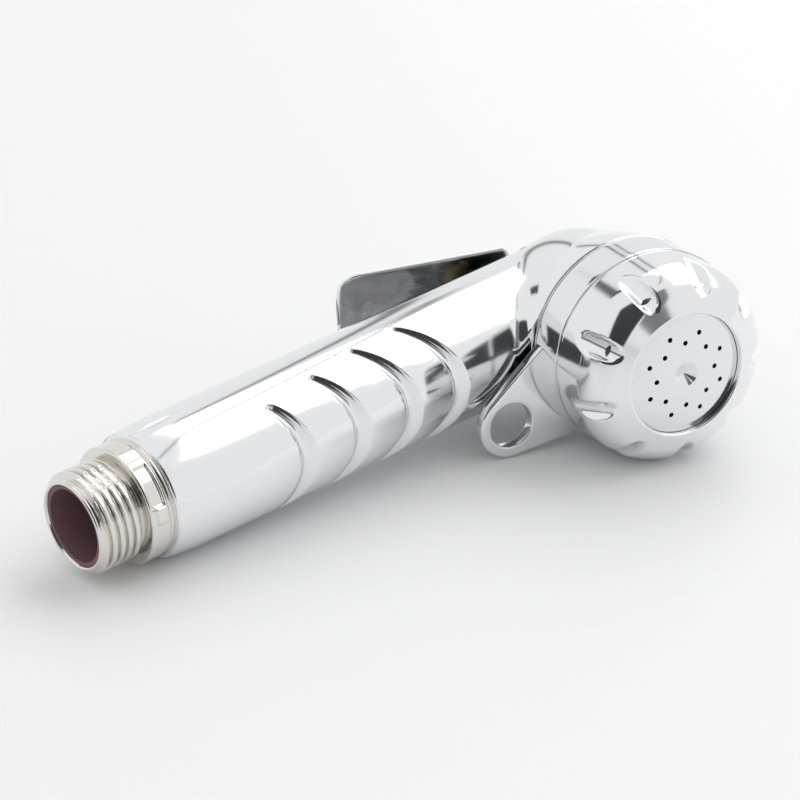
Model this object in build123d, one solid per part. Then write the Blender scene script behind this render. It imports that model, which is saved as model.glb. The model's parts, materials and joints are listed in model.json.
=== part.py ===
from build123d import *
import math
import os

# Handheld bath sprayer, lying on its side. All sizes in mm.
#
# Two working frames are used before the finished sprayer is laid down:
#   head frame    +X is the spray direction, the origin is the middle of the hole plane,
#                 +Y points from the handle towards the crown, +Z is the side that faces up.
#   handle frame  origin where the handle axis crosses the spray axis, +Z runs along the
#                 handle towards the hose inlet, +X is the front (finger) side, -X the thumb side.

# ---- overall layout ----
NECK_BACK = 47.6          # spray axis: hole plane to the handle axis
NECK_ANGLE = 74.1         # between the spray direction and the handle axis
INLET_REACH = 137.9       # handle axis: crossing point to the inlet end
RUN_GAP = 0.05            # radial running clearance of turning fits
FREE_GAP = 0.3            # clearance between parts that only pass each other

# ---- head ----
HEAD_R = 22.4             # outside radius of band and housing
SEAM_REAR = -25.1         # front face of the housing, behind the hole plane
DOME_LENGTH = 38.0        # the housing narrows from the seam and closes at the crown
DOME_POWER = 1.35         # how steadily it narrows
DOME_POINTS = 12
DOME_WALL = 2.5
NECK_FILLET = 4.0
SPIGOT_R = 18.4           # front spigot that carries the band and the nozzle ring
SPIGOT_BORE_R = 16.4
SPIGOT_END = -7.0
BAND_FRONT = -15.5
BAND_BACK = -24.5
RING_R = 22.1             # nozzle ring
RING_BACK = -15.1
RING_FACE = -1.0          # flat front annulus
RING_LIP = 0.4            # raised lip round the recess
RECESS_R = 13.5
RING_BORE_R = 18.8
FLUTES = 9
FLUTE_START = 27.2        # angle of the first flute from the inlet side
FLUTE_R = 2.3
FLUTE_TIP = (1.6, 18.6)   # along and out from the spray axis
FLUTE_TAIL = (-9.5, 24.3)
FLANGE_BACK = -3.0        # back of the nozzle ring's front flange
PLATE_R = 13.4
PLATE_FLANGE_R = 17.6
PLATE_HOLLOW_R = 11.5
OUTER_HOLES_R = 9.35
INNER_HOLES_R = 7.13
HOLES_PER_RING = 8
HOLE_D = 1.1
HOLES_START = 22.5
DISC_BACK = -9.2
DISC_FRONT = -7.5

# ---- hanger tab ----
TAB_TILT = 22.0           # tab is turned this far from the handle, towards the floor
TAB_REACH = 32.9          # spray axis to the hole
TAB_HOLE_R = 5.0
TAB_END_R = 7.4
TAB_ROOT_HALF = 11.5
TAB_FRONT = -21.2
TAB_BACK = -23.9

# ---- handle ----
BODY_END = 122.0          # inlet end of the shell, from the crossing point
HANDLE_R_TOP = 14.9
HANDLE_R_END = 13.85
HANDLE_LIP_R = 13.1
HANDLE_BORE_R = 11.4
GRIP_LEAN = 0.92          # how far each finger step leans, per mm of depth
GRIP_RUN = 12.0           # length of the ramp that leads out of each step
GRIPS = [
    (88.0, 1.15, 58.0),   # distance of the step, depth, half angle
    (73.6, 1.35, 67.0),
    (59.5, 1.45, 75.0),
    (46.3, 1.45, 78.0),
]

# ---- inlet ----
COLLAR_R = 12.25
COLLAR_TOP = 127.6
THREAD_CREST_R = 10.4775  # G 1/2 male pipe thread
THREAD_ROOT_R = 9.3155
THREAD_PITCH = 1.814
THREAD_CRESTS = 5
INLET_BORE_R = 7.6
LINER_R = 8.5
LINER_INNER_END = 113.0
FILTER_PITCH = 1.5
FILTER_HOLE_R = 0.45
NIPPLE_SPIGOT_R = 11.35
NIPPLE_INNER_END = 106.0

# ---- thumb lever ----
PIVOT_ALONG = 1.0
PIVOT_BEHIND = 9.6
LEVER_REST = 25.4         # slope of the lever away from the handle
LEVER_STROKE = 10.0
LEVER_HALF_WIDTH = 13.5
LEVER_LENGTH = 47.5
LEVER_CURVE_R = 25.0
LEVER_THICK = 1.8
LEVER_CORNER = 5.5        # rounding of the two free corners
LEVER_SHOULDER = 8.5      # the blade widens out of the tongue this far from the pin
LEVER_SHOULDER_CORNER = 4.0
PIN_R = 1.5
PIN_HALF = 10.0
BARREL_R = 2.8
TONGUE_HALF = 7.0

# ---- valve ----
STEM_ALONG = 18.0         # stem axis, from the crossing point
STEM_R = 1.5
STEM_STROKE = 2.73
STEM_HEAD_R = 3.0
VALVE_R = 11.0
VALVE_TOP = 10.5
VALVE_END = 32.0
VALVE_FLAT = 8.0          # flat on the thumb side
CHAMBER_R = 5.0
CHAMBER_FRONT = -9.0
SEAT_LOW = 0.5
SEAT_HIGH = 1.8
GALLERY_R = 3.6
GALLERY_HIGH = 5.0
GLAND_R = 4.6
TUBE_R = 6.2
TUBE_BORE_R = 4.8
TUBE_FLANGE_R = 9.6
TUBE_FLANGE = 1.15
ELBOW_R = 3.2
ELBOW_BORE_R = 2.2
ELBOW_BEHIND = 3.2
ELBOW_SOCKET = 13.0
ELBOW_BEND_R = 6.0
ELBOW_FRONT = -23.0

neck = math.radians(NECK_ANGLE)
along = Vector(math.cos(neck), -math.sin(neck), 0)
front = Vector(math.sin(neck), math.cos(neck), 0)
handle_plane = Plane(origin=(-NECK_BACK, 0, 0), x_dir=front, z_dir=along)
in_head = Location(handle_plane)


def turned(points):
    """Solid of revolution about the spray axis from (x, radius) points."""
    face = make_face(Polyline(*[(x, r, 0) for x, r in points], close=True))
    return revolve(face, Axis.X)


def spun(points):
    """Solid of revolution about the handle axis from (radius, z) points."""
    face = make_face(Polyline(*[(r, 0, z) for r, z in points], close=True))
    return revolve(face, Axis.Z)


def tube_x(r_out, r_in, x0, x1):
    return turned([(x0, r_in), (x1, r_in), (x1, r_out), (x0, r_out)])


def rod_x(r, x0, x1):
    return turned([(x0, 0), (x1, 0), (x1, r), (x0, r)])


def tube_z(r_out, r_in, z0, z1):
    return spun([(r_in, z0), (r_out, z0), (r_out, z1), (r_in, z1)])


def rod_z(r, z0, z1):
    return spun([(0, z0), (r, z0), (r, z1), (0, z1)])


def ring_x(radius, wire_r, x):
    face = Plane.XY * Pos(x, radius) * Circle(wire_r)
    return revolve(face, Axis.X)


def ring_z(radius, wire_r, z):
    face = Plane.XZ * Pos(radius, z) * Circle(wire_r)
    return revolve(face, Axis.Z)


def behind(r, b0, b1, z):
    """Rod across the handle in the handle frame, from b0 to b1 behind the axis."""
    return Pos(-(b0 + b1) / 2, 0, z) * Rot(0, 90, 0) * Cylinder(r, abs(b1 - b0))


# ---------------------------------------------------------------- body shell

def dome_face(radius, length):
    """Half section of the housing, narrowing from the seam to a round crown."""
    points = []
    for i in range(DOME_POINTS + 1):
        turn = math.pi / 2 * i / DOME_POINTS
        share = math.sin(turn) ** (2 / DOME_POWER)
        points.append((SEAM_REAR - length * share, radius * math.cos(turn)))
    side = Spline(*points, tangents=[(-1, -0.05), (0, -1)])
    edges = [
        side,
        Line(points[-1], (SEAM_REAR, 0)),
        Line((SEAM_REAR, 0), points[0]),
    ]
    return make_face(edges)


def handle_outline():
    arc = ThreePointArc(
        (HANDLE_R_END, 0, BODY_END - 10),
        (HANDLE_R_END - 0.2, 0, BODY_END - 4.5),
        (HANDLE_LIP_R, 0, BODY_END),
    )
    middle = HANDLE_R_TOP * math.sqrt(0.5)
    cap = ThreePointArc((0, 0, -HANDLE_R_TOP), (middle, 0, -middle), (HANDLE_R_TOP, 0, 0))
    edges = [
        cap,
        Line((HANDLE_R_TOP, 0, 0), (HANDLE_R_END, 0, BODY_END - 10)),
        arc,
        Line((HANDLE_LIP_R, 0, BODY_END), (0, 0, BODY_END)),
        Line((0, 0, BODY_END), (0, 0, -HANDLE_R_TOP)),
    ]
    return revolve(make_face(edges), Axis.Z)


def grip_cutter(z_step, depth, half_angle):
    """Ramp that starts at a leaning step and runs out towards the inlet."""
    radius = HANDLE_R_TOP + (HANDLE_R_END - HANDLE_R_TOP) * z_step / BODY_END
    shift = depth / (1 - math.cos(math.radians(half_angle)))
    floor_r = radius + shift - depth
    foot = z_step + GRIP_LEAN * depth
    tilt = math.degrees(math.atan2(depth, GRIP_RUN))
    floor = Pos(-shift, 0, foot) * Rot(0, tilt, 0) * Cylinder(floor_r, 120)
    block = Pos(radius, 0, foot) * Box(radius * 2, radius * 4, 60)
    lean = math.degrees(math.atan(GRIP_LEAN))
    step = Pos(radius, 0, z_step) * Rot(0, lean, 0)
    keep = step * Pos(0, 0, 40) * Box(120, 120, 80)
    return (block & keep) - floor


def lever_frame(slope):
    """Pivot as origin, +Z along the lever, -X outwards."""
    return Pos(-PIVOT_BEHIND, 0, PIVOT_ALONG) * Rot(0, -slope, 0)


def lever_section(v_low, v_high, half_width, u0, u1):
    """Curved slab between two heights, following the lever's cross-curve."""
    centre = LEVER_THICK / 2 - LEVER_CURVE_R
    long = u1 - u0
    mid = (u0 + u1) / 2
    outer = Pos(-centre, 0, mid) * Cylinder(v_high - centre, long)
    slab = outer
    if v_low > centre:
        slab = outer - Pos(-centre, 0, mid) * Cylinder(v_low - centre, long + 2)
    v_edge = v_low - 9
    trim = Pos(-(v_high + v_edge) / 2, 0, mid) * Box(v_high - v_edge, 2 * half_width, long)
    return slab & trim


def lever_pocket():
    """Room in the shell for the lever over its whole stroke."""
    pressed = LEVER_REST - LEVER_STROKE
    under = -LEVER_THICK / 2 - 0.4
    saddle = lever_frame(pressed) * lever_section(under, 24, 40, 4, 60)
    saddle -= Pos(0, 0, -12) * Box(80, 80, 40)
    slot_half = TONGUE_HALF + FREE_GAP
    barrel_r = BARREL_R + 0.4
    slot = Pos(-PIVOT_BEHIND, 0, PIVOT_ALONG) * Rot(90, 0, 0) * Cylinder(barrel_r, 2 * slot_half)
    for slope in (LEVER_REST, pressed):
        slot += lever_frame(slope) * Pos(0, 0, 6) * Box(3.0, 2 * slot_half, 12)
    middle = lever_frame((LEVER_REST + pressed) / 2)
    slot += middle * Pos(0, 0, 6) * Box(3.2, 2 * slot_half, 12)
    return saddle + slot


def shell_cavity():
    inside = revolve(dome_face(HEAD_R - DOME_WALL, DOME_LENGTH - DOME_WALL), Axis.X)
    inside &= Pos(SEAM_REAR - 4 - 50, 0, 0) * Box(100, 100, 100)
    bore = rod_z(HANDLE_BORE_R, 0, BODY_END + 1)
    seat = Pos(-(VALVE_FLAT + FREE_GAP) - 10, 0, 17) * Box(20, 40, 22)
    bore_part = in_head * (bore - seat)
    cavity = inside + bore_part
    lug = Pos(-PIVOT_BEHIND - 1, 0, 2.5) * Box(12, 8, 11)
    for side in (-1, 1):
        cavity -= in_head * Pos(0, side * (TONGUE_HALF + FREE_GAP + 4), 0) * lug
    return cavity


def body_shell():
    dome = revolve(dome_face(HEAD_R, DOME_LENGTH), Axis.X)
    handle = in_head * handle_outline()
    skin = dome + handle
    joint = new_edges(dome, handle, combined=skin)
    skin = fillet(joint, NECK_FILLET)
    for z_step, depth, half_angle in GRIPS:
        skin -= in_head * grip_cutter(z_step, depth, half_angle)
    spigot = tube_x(SPIGOT_R, SPIGOT_BORE_R, SEAM_REAR - 4, SPIGOT_END)
    body = skin - shell_cavity() - in_head * lever_pocket()
    body -= rod_x(SPIGOT_BORE_R, SEAM_REAR - 5, SPIGOT_END)
    body += spigot
    body -= in_head * Pos(-PIVOT_BEHIND, 0, PIVOT_ALONG) * Rot(90, 0, 0) * Cylinder(PIN_R, 2 * PIN_HALF)
    body -= in_head * behind(3.7, 10.2, 20, STEM_ALONG)
    body -= in_head * behind(STEM_R + 0.5, 7, 12, STEM_ALONG)
    body -= tube_x(SPIGOT_R + 1, SPIGOT_R - 1.3, -12.9, -11.1)
    body -= tube_x(SPIGOT_R + 1, SPIGOT_R - 0.95, -9.6, -8.4)
    body -= tube_x(21.2, 18.9, SEAM_REAR - 0.4, SEAM_REAR + 1)
    return body


# ---------------------------------------------------------------- inlet

def inlet_nipple():
    top = INLET_REACH
    outline = [
        (LINER_R, top),
        (LINER_R + 0.75, top),
        (THREAD_ROOT_R + 0.35, top - 0.7),
    ]
    first = top - 1.1
    for i in range(THREAD_CRESTS):
        low = first - (i + 1) * THREAD_PITCH
        outline += [
            (THREAD_ROOT_R, low + 0.93 * THREAD_PITCH),
            (THREAD_CREST_R, low + 0.64 * THREAD_PITCH),
            (THREAD_CREST_R, low + 0.36 * THREAD_PITCH),
            (THREAD_ROOT_R, low + 0.07 * THREAD_PITCH),
        ]
    outline += [
        (THREAD_ROOT_R, COLLAR_TOP),
        (COLLAR_R - 0.4, COLLAR_TOP),
        (COLLAR_R, COLLAR_TOP - 0.4),
        (COLLAR_R, BODY_END + 1.3),
        (COLLAR_R - 0.7, BODY_END + 1.3),
        (COLLAR_R - 0.7, BODY_END + 0.5),
        (COLLAR_R, BODY_END + 0.5),
        (COLLAR_R, BODY_END),
        (NIPPLE_SPIGOT_R, BODY_END),
        (NIPPLE_SPIGOT_R, NIPPLE_INNER_END),
        (INLET_BORE_R, NIPPLE_INNER_END),
        (INLET_BORE_R, LINER_INNER_END - 1.2),
        (LINER_R, LINER_INNER_END - 1.2),
    ]
    nipple = spun(outline)
    nipple -= tube_z(NIPPLE_SPIGOT_R + 1, NIPPLE_SPIGOT_R - 1.4, 115, 117)
    lug = Pos(0, COLLAR_R - 0.1, COLLAR_TOP - 2.6) * Box(3.4, 1.6, 2.2)
    nipple += Rot(0, 0, -38) * lug
    flat = Pos(0, COLLAR_R + 1.1, COLLAR_TOP - 2.2) * Box(9, 3.6, 3.6)
    nipple -= Rot(0, 0, 18) * flat
    return nipple


def inlet_liner():
    return tube_z(LINER_R - 0.02, INLET_BORE_R, LINER_INNER_END, INLET_REACH - 0.5)


def inlet_filter():
    disc = rod_z(LINER_R - 0.05, LINER_INNER_END - 1.15, LINER_INNER_END - 0.05)
    holes = []
    for row in range(-5, 6):
        for column in range(-5, 6):
            across = (column + (row % 2) / 2) * FILTER_PITCH
            up = row * FILTER_PITCH * 0.866
            if math.hypot(across, up) < INLET_BORE_R - 0.8:
                holes.append(Pos(across, up) * Circle(FILTER_HOLE_R))
    sketch = Sketch() + holes
    return disc - extrude(Plane.XY.offset(LINER_INNER_END - 2) * sketch, 3)


def nipple_o_ring():
    return ring_z(NIPPLE_SPIGOT_R - 0.68, 0.66, 116)


def water_tube():
    end = NIPPLE_INNER_END + 4.5
    low = VALVE_END - 5.5
    flange = NIPPLE_INNER_END - 0.05
    tube = spun([
        (TUBE_BORE_R, low),
        (TUBE_R, low),
        (TUBE_R, flange - TUBE_FLANGE),
        (TUBE_FLANGE_R, flange - TUBE_FLANGE),
        (TUBE_FLANGE_R, flange),
        (INLET_BORE_R - 0.05, flange),
        (INLET_BORE_R - 0.05, end),
        (TUBE_BORE_R, end),
    ])
    return tube - tube_z(INLET_BORE_R + 1, INLET_BORE_R - 1.15, end - 2.9, end - 1.3)


def tube_o_ring():
    return ring_z(INLET_BORE_R - 0.57, 0.55, NIPPLE_INNER_END + 2.4)


# ---------------------------------------------------------------- valve

def valve_body():
    block = rod_z(VALVE_R, VALVE_TOP, VALVE_END)
    block -= Pos(-VALVE_FLAT - 10, 0, (VALVE_TOP + VALVE_END) / 2) * Box(20, 40, 40)
    block -= rod_z(TUBE_R + 0.05, VALVE_END - 6, VALVE_END + 1)
    block -= behind(CHAMBER_R, -20, SEAT_LOW, STEM_ALONG)
    block -= behind(2.7, SEAT_LOW - 1, SEAT_HIGH + 1, STEM_ALONG)
    block -= behind(GALLERY_R, SEAT_HIGH, GALLERY_HIGH + 1, STEM_ALONG)
    block -= behind(GLAND_R, GALLERY_HIGH, 20, STEM_ALONG)
    inlet_way = (VALVE_END - 6 + STEM_ALONG) / 2
    block -= Pos(3.6, 0, inlet_way) * Cylinder(2.3, VALVE_END - 5 - STEM_ALONG)
    outlet_way = (VALVE_TOP + STEM_ALONG) / 2
    block -= Pos(-ELBOW_BEHIND, 0, outlet_way) * Cylinder(1.9, STEM_ALONG - VALVE_TOP)
    socket_deep = ELBOW_SOCKET - VALVE_TOP
    block -= Pos(-ELBOW_BEHIND, 0, VALVE_TOP + socket_deep / 2) * Cylinder(ELBOW_R + 0.05, socket_deep)
    return block


def valve_plug():
    plug = behind(CHAMBER_R - 0.05, -VALVE_R + 0.8, CHAMBER_FRONT, STEM_ALONG)
    return plug - behind(1.4, -VALVE_R, CHAMBER_FRONT - 0.8, STEM_ALONG)


def valve_disc():
    disc = behind(4.1, SEAT_LOW - 1.85, SEAT_LOW - 0.05, STEM_ALONG)
    return disc - behind(STEM_R + 0.02, -10, 5, STEM_ALONG)


def valve_stem():
    foot = SEAT_LOW - 1.9
    head = lever_underside() - 0.1
    stem = behind(STEM_R, foot - 1.6, head - 1.2, STEM_ALONG)
    stem += behind(3.2, foot - 1.0, foot, STEM_ALONG)
    stem += behind(STEM_HEAD_R, head - 1.2, head, STEM_ALONG)
    return stem


def lever_underside():
    """Height behind the handle axis of the lever's underside over the stem, at rest."""
    slope = math.radians(LEVER_REST)
    reach = (STEM_ALONG - STEM_HEAD_R - PIVOT_ALONG) * math.tan(slope)
    return PIVOT_BEHIND + reach - LEVER_THICK / 2 / math.cos(slope)


def gland_nut():
    nut = behind(GLAND_R - 0.05, GALLERY_HIGH + 1.5, VALVE_FLAT, STEM_ALONG)
    return nut - behind(STEM_R + RUN_GAP, 0, 20, STEM_ALONG)


def stem_o_ring():
    ring = ring_z(STEM_R + 0.75, 0.68, 0)
    return Pos(-(GALLERY_HIGH + 0.75), 0, STEM_ALONG) * Rot(0, 90, 0) * ring


def return_spring():
    low = CHAMBER_FRONT + 0.35
    high = SEAT_LOW - 3.25
    turns = 4
    wire_r = 0.3
    height = high - low
    helix = Helix(height / turns, height, 2.45)
    profile = Plane(origin=helix @ 0, z_dir=helix % 0) * Circle(wire_r)
    coil = sweep(profile, helix, is_frenet=True)
    return Pos(-low, 0, STEM_ALONG) * Rot(0, -90, 0) * coil


def outlet_elbow():
    start = in_head * Pos(-ELBOW_BEHIND, 0, ELBOW_SOCKET)
    p0 = start.position
    run = p0.Y / along.Y
    corner = p0 - along * run
    path = FilletPolyline((p0.X, p0.Y), (corner.X, 0), (ELBOW_FRONT, 0), radius=ELBOW_BEND_R)
    ring = Plane(origin=path @ 0, z_dir=path % 0) * (Circle(ELBOW_R) - Circle(ELBOW_BORE_R))
    return sweep(ring, path)


# ---------------------------------------------------------------- lever

def lever_plan():
    length = LEVER_LENGTH
    half = LEVER_HALF_WIDTH
    low = LEVER_SHOULDER
    slab = Pos(0, 0, (length + low) / 2) * Box(40, 2 * half, length - low)
    long_edges = slab.edges().filter_by(Axis.X).group_by(Axis.Z)
    slab = fillet(long_edges[-1], LEVER_CORNER)
    long_edges = slab.edges().filter_by(Axis.X).group_by(Axis.Z)
    return fillet(long_edges[0], LEVER_SHOULDER_CORNER)


def thumb_lever():
    half = LEVER_THICK / 2
    plate = lever_section(-half, half, LEVER_HALF_WIDTH, 0, LEVER_LENGTH) & lever_plan()
    tongue = Pos(0, 0, 6) * Box(LEVER_THICK, 2 * TONGUE_HALF, 12)
    barrel = Rot(90, 0, 0) * Cylinder(BARREL_R, 2 * TONGUE_HALF)
    lever = plate + tongue + barrel
    lever -= Rot(90, 0, 0) * Cylinder(PIN_R + RUN_GAP, 60)
    return lever_frame(LEVER_REST) * lever


def lever_pin():
    pin = Rot(90, 0, 0) * Cylinder(PIN_R - 0.01, 2 * PIN_HALF)
    return Pos(-PIVOT_BEHIND, 0, PIVOT_ALONG) * pin


# ---------------------------------------------------------------- head pieces

def flute_cutter():
    """Round-ended groove that runs from the front annulus back over the shoulder."""
    tip = Vector(*FLUTE_TIP, 0)
    tail = Vector(*FLUTE_TAIL, 0)
    run = tail - tip
    place = Location(Plane(origin=(tip + tail) * 0.5, z_dir=run))
    groove = place * Cylinder(FLUTE_R, run.length)
    groove += Pos(tip) * Sphere(FLUTE_R)
    groove += Pos(tail) * Sphere(FLUTE_R)
    return groove


def nozzle_ring():
    outline = [
        Line((FLANGE_BACK, RECESS_R, 0), (RING_LIP, RECESS_R, 0)),
        Line((RING_LIP, RECESS_R, 0), (RING_LIP, RECESS_R + 0.5, 0)),
        Line((RING_LIP, RECESS_R + 0.5, 0), (RING_FACE, 17.6, 0)),
        ThreePointArc((RING_FACE, 17.6, 0), (RING_FACE - 1.35, 20.7, 0), (RING_FACE - 4.6, RING_R, 0)),
        Line((RING_FACE - 4.6, RING_R, 0), (RING_BACK, HEAD_R, 0)),
        Line((RING_BACK, HEAD_R, 0), (RING_BACK, RING_BORE_R, 0)),
        Line((RING_BACK, RING_BORE_R, 0), (FLANGE_BACK, RING_BORE_R, 0)),
        Line((FLANGE_BACK, RING_BORE_R, 0), (FLANGE_BACK, RECESS_R, 0)),
    ]
    ring = revolve(make_face(outline), Axis.X)
    ring -= tube_x(19.7, RING_BORE_R - 1, -9.7, -8.3)
    for i in range(FLUTES):
        angle = 180 - (FLUTE_START + i * 360 / FLUTES)
        ring -= Rot(angle, 0, 0) * flute_cutter()
    return ring


def spray_plate():
    face = make_face([
        Line((FLANGE_BACK - 1.6, 0, 0), (FLANGE_BACK - 1.6, PLATE_FLANGE_R, 0)),
        Line((FLANGE_BACK - 1.6, PLATE_FLANGE_R, 0), (FLANGE_BACK - 0.02, PLATE_FLANGE_R, 0)),
        Line((FLANGE_BACK - 0.02, PLATE_FLANGE_R, 0), (FLANGE_BACK - 0.02, PLATE_R, 0)),
        Line((FLANGE_BACK - 0.02, PLATE_R, 0), (-0.9, PLATE_R, 0)),
        ThreePointArc((-0.9, PLATE_R, 0), (0.0, 7.6, 0), (0.25, 2.8, 0)),
        Line((0.25, 2.8, 0), (-1.0, 0.3, 0)),
        Line((-1.0, 0.3, 0), (-1.0, 0, 0)),
        Line((-1.0, 0, 0), (FLANGE_BACK - 1.6, 0, 0)),
    ])
    plate = revolve(face, Axis.X)
    plate -= rod_x(PLATE_HOLLOW_R, FLANGE_BACK - 2, -2.2)
    drill = Pos(-2, 0, 0) * Rot(0, 90, 0) * Cylinder(HOLE_D / 2, 10)
    for radius, start in ((OUTER_HOLES_R, HOLES_START), (INNER_HOLES_R, 0)):
        for i in range(HOLES_PER_RING):
            plate -= Rot(start + i * 360 / HOLES_PER_RING, 0, 0) * Pos(0, radius, 0) * drill
    return plate


def plate_gasket():
    back = FLANGE_BACK - 1.62
    return tube_x(PLATE_FLANGE_R, 13.0, back - 1.4, back)


def flow_disc():
    disc = rod_x(SPIGOT_BORE_R - 0.05, DISC_BACK, DISC_FRONT)
    for i in range(HOLES_PER_RING):
        slot = Pos(-8, 8.3, 0) * Rot(0, 90, 0) * Cylinder(1.5, 6)
        disc -= Rot(i * 360 / HOLES_PER_RING, 0, 0) * slot
    return disc


def flow_cup():
    cup = rod_x(SPIGOT_BORE_R - 0.05, -22.5, DISC_BACK - 0.02)
    cup -= rod_x(SPIGOT_BORE_R - 2, -20.5, 0)
    cup += rod_x(ELBOW_R + 2, -27, -22.5)
    cup -= rod_x(ELBOW_R + 0.05, -28, ELBOW_FRONT + 0.05)
    return cup - rod_x(ELBOW_BORE_R, -24, -20)


def head_o_ring():
    return ring_x(SPIGOT_R - 0.48, 0.78, -12)


def snap_ring():
    ring = tube_x(19.4, SPIGOT_R - 0.9, -9.5, -8.5)
    return ring - Pos(-9, 20, 0) * Box(4, 8, 9)


def swivel_washer():
    return tube_x(21.1, 19.0, SEAM_REAR - 0.35, BAND_BACK - 0.05)


def hanger_ring():
    """Band with the tab at its inlet side, before it is turned to its tilt."""
    band = tube_x(HEAD_R, SPIGOT_R + RUN_GAP, BAND_BACK, BAND_FRONT)
    thick = TAB_FRONT - TAB_BACK
    root = math.sqrt(HEAD_R ** 2 - TAB_ROOT_HALF ** 2) - 1.0
    reach = TAB_REACH
    tangent = math.asin((TAB_ROOT_HALF - TAB_END_R) / (reach - root))
    touch_y = TAB_END_R * math.cos(tangent)
    touch_x = reach + TAB_END_R * math.sin(tangent)
    outline = [
        Line((root, -TAB_ROOT_HALF), (root, TAB_ROOT_HALF)),
        Line((root, TAB_ROOT_HALF), (touch_x, touch_y)),
        ThreePointArc((touch_x, touch_y), (reach + TAB_END_R, 0), (touch_x, -touch_y)),
        Line((touch_x, -touch_y), (root, -TAB_ROOT_HALF)),
    ]
    flat = Plane(origin=(TAB_BACK, 0, 0), x_dir=(0, -1, 0), z_dir=(1, 0, 0))
    plate = extrude(flat * make_face(outline), thick)
    plate -= rod_x(HEAD_R - 0.5, TAB_BACK - 1, TAB_FRONT + 1)
    hole = Pos((TAB_FRONT + TAB_BACK) / 2, -reach, 0) * Rot(0, 90, 0) * Cylinder(TAB_HOLE_R, 10)
    return band + plate - hole


# ---------------------------------------------------------------- assembly

def handle_parts():
    return {
        "inlet_nipple": inlet_nipple(),
        "inlet_liner": inlet_liner(),
        "inlet_filter": inlet_filter(),
        "nipple_o_ring": nipple_o_ring(),
        "water_tube": water_tube(),
        "tube_o_ring": tube_o_ring(),
        "valve_body": valve_body(),
        "valve_plug": valve_plug(),
        "valve_disc": valve_disc(),
        "valve_stem": valve_stem(),
        "gland_nut": gland_nut(),
        "stem_o_ring": stem_o_ring(),
        "return_spring": return_spring(),
        "thumb_lever": thumb_lever(),
        "lever_pin": lever_pin(),
    }


def head_parts():
    return {
        "body_shell": body_shell(),
        "outlet_elbow": outlet_elbow(),
        "nozzle_ring": nozzle_ring(),
        "spray_plate": spray_plate(),
        "plate_gasket": plate_gasket(),
        "flow_disc": flow_disc(),
        "flow_cup": flow_cup(),
        "head_o_ring": head_o_ring(),
        "snap_ring": snap_ring(),
        "swivel_washer": swivel_washer(),
        "hanger_ring": Rot(TAB_TILT, 0, 0) * hanger_ring(),
    }


# The sprayer lies on its side: the handle drops until its inlet end meets the floor.
LAY_ROLL = 4.6
laid = Rot(LAY_ROLL, 0, 0)


def all_parts():
    parts = {name: in_head * part for name, part in handle_parts().items()}
    parts.update(head_parts())
    parts = {name: laid * part for name, part in parts.items()}
    boxes = [part.bounding_box() for part in parts.values()]
    low = [min(getattr(box.min, axis) for box in boxes) for axis in "XYZ"]
    high = [max(getattr(box.max, axis) for box in boxes) for axis in "XYZ"]
    shift = Pos(-(low[0] + high[0]) / 2, -(low[1] + high[1]) / 2, -low[2])
    return {name: shift * part for name, part in parts.items()}, shift


def main():
    os.makedirs("parts", exist_ok=True)
    parts, shift = all_parts()
    for name, part in parts.items():
        export_step(part, f"parts/{name}.step")
    place = shift.position
    print(f"hole plane centre at {place.X:.3f} {place.Y:.3f} {place.Z:.3f}")


if __name__ == "__main__":
    main()
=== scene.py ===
"""Handheld bath sprayer: finishes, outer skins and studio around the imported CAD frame."""
import json
import math

import bmesh
import bpy
import numpy as np
from bpy.props import FloatProperty, FloatVectorProperty, IntProperty, PointerProperty
from mathutils import Matrix, Vector


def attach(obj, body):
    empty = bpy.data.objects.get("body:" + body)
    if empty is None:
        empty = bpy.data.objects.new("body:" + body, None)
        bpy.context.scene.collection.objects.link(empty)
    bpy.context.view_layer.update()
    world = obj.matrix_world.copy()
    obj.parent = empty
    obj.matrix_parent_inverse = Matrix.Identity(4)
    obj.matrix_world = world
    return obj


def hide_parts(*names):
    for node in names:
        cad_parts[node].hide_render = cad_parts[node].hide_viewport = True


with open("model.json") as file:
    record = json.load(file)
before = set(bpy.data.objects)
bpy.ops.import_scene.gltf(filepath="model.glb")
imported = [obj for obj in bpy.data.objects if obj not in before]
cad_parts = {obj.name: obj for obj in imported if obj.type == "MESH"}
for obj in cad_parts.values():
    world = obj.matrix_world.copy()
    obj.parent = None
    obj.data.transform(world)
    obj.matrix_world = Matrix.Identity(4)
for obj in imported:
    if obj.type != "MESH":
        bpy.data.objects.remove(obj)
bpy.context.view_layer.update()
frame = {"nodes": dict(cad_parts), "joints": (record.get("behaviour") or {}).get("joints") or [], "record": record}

bl_info = {
    "name": "Handheld Bath Sprayer",
    "version": (1, 0, 0),
    "blender": (4, 5, 0),
    "location": "3D View > Sidebar > Sprayer",
    "description": "Builds the skins, finishes and studio of a handheld bath sprayer",
    "category": "Object",
}

MM = 0.001
RECORD = frame["record"]
MOUNTS = {m["name"]: m for m in RECORD["mounts"]}
JOINTS = {j["name"]: j for j in frame["joints"]}

# ---------------------------------------------------------------- the two working frames

SPRAY = Vector(JOINTS["nozzle_turn"]["axis"])
HOLE_PLANE = Vector(JOINTS["nozzle_turn"]["pos_m"])
ALONG = Vector(MOUNTS["inlet_thread"]["axis"])
CROWN = (SPRAY * ALONG.dot(SPRAY) - ALONG).normalized()
UP_SIDE = SPRAY.cross(CROWN)
FINGERS = (SPRAY - ALONG * SPRAY.dot(ALONG)).normalized()


def crossing_point():
    """Where the handle axis meets the spray axis."""
    on_handle = Vector(MOUNTS["inlet_thread"]["pos_m"])
    gap = on_handle - HOLE_PLANE
    reach = gap.dot(CROWN) / ALONG.dot(CROWN)
    return on_handle - ALONG * reach


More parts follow.
